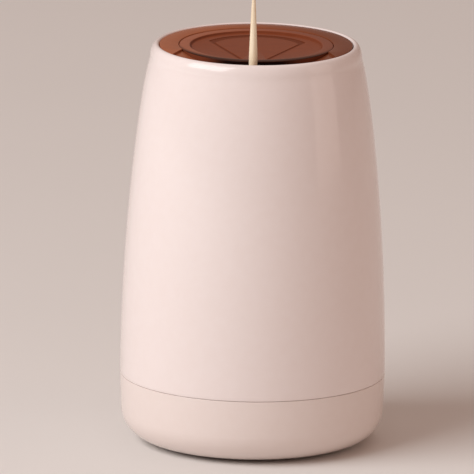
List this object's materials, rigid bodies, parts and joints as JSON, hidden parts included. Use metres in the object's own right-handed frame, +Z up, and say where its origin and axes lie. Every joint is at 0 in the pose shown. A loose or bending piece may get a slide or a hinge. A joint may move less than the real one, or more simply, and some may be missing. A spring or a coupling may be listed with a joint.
{
  "type": "toothpick dispenser",
  "caption": "Tapered tabletop toothpick dispenser: pressing its sunk button works a lever and lifter that stand one pick up in the outlet; the shell lifts off its round base for refilling.",
  "frame": {"origin": "middle of the plane that the feet stand on, on the body's axis", "axes": "+Z up along the body's axis, front with the outlet and the standing pick towards -Y, +X to the right of someone who looks at the front"},
  "size_m": [0.0624, 0.0624, 0.114],
  "materials": {
    "shell_plastic": "glossy moulded off-white plastic",
    "smoky_plastic": "polished see-through smoky brown plastic",
    "inner_plastic": "plain satin moulded plastic",
    "grey_plastic": "satin moulded plastic",
    "steel": "drawn bright steel",
    "pick_wood": "dry turned pale wood",
    "rubber": "matt soft rubber"
  },
  "bodies": {
    "base": {"base_cup": "shell_plastic", "foot_1": "rubber", "foot_2": "rubber", "foot_3": "rubber", "foot_4": "rubber", "chassis_plate": "grey_plastic", "chassis_screw_1": "steel", "chassis_screw_2": "steel", "chassis_screw_3": "steel", "hopper": "inner_plastic", "hopper_screw_left": "steel", "hopper_screw_right": "steel", "axle_pin": "steel", "axle_clip": "steel", "return_spring_left": "steel", "return_spring_right": "steel", "stock_pick_1": "pick_wood", "stock_pick_2": "pick_wood", "stock_pick_3": "pick_wood", "stock_pick_4": "pick_wood", "stock_pick_5": "pick_wood", "stock_pick_6": "pick_wood", "stock_pick_7": "pick_wood", "stock_pick_8": "pick_wood", "stock_pick_9": "pick_wood", "stock_pick_10": "pick_wood", "stock_pick_11": "pick_wood", "stock_pick_12": "pick_wood", "stock_pick_13": "pick_wood", "stock_pick_14": "pick_wood", "stock_pick_15": "pick_wood", "stock_pick_16": "pick_wood"},
    "shell": {"outer_shell": "shell_plastic", "outlet_collar": "smoky_plastic"},
    "button": {"press_button": "smoky_plastic", "button_carrier": "inner_plastic", "push_leg_left": "steel", "push_leg_right": "steel"},
    "lever": {"lever_yoke": "grey_plastic"},
    "lifter": {"lifter": "grey_plastic", "lifter_bar": "steel", "presented_pick": "pick_wood"}
  },
  "joints": [
    {"name": "shell_lift", "type": "slide", "parent": "base", "child": "shell", "axis": [0, 0, 1], "range_m": [0, 0.1]},
    {"name": "button_press", "type": "slide", "parent": "shell", "child": "button", "axis": [0, 0, -1], "range_m": [0, 0.00912], "stiffness_N_per_m": 400, "springref_m": -0.005, "deforming": ["return_spring_left", "return_spring_right"]},
    {"name": "lever_swing", "type": "hinge", "parent": "base", "child": "lever", "pos_m": [0, 0.0156, 0.0238], "axis": [1, 0, 0], "range_deg": [0, 51]},
    {"name": "lifter_rise", "type": "slide", "parent": "base", "child": "lifter", "axis": [0, 0, -1], "range_m": [0, 0.033]}
  ],
  "couplings": [
    {"joint": "lever_swing", "follows": "button_press", "rad_per_m": 97.53},
    {"joint": "lifter_rise", "follows": "button_press", "ratio": 3.6164}
  ]
}
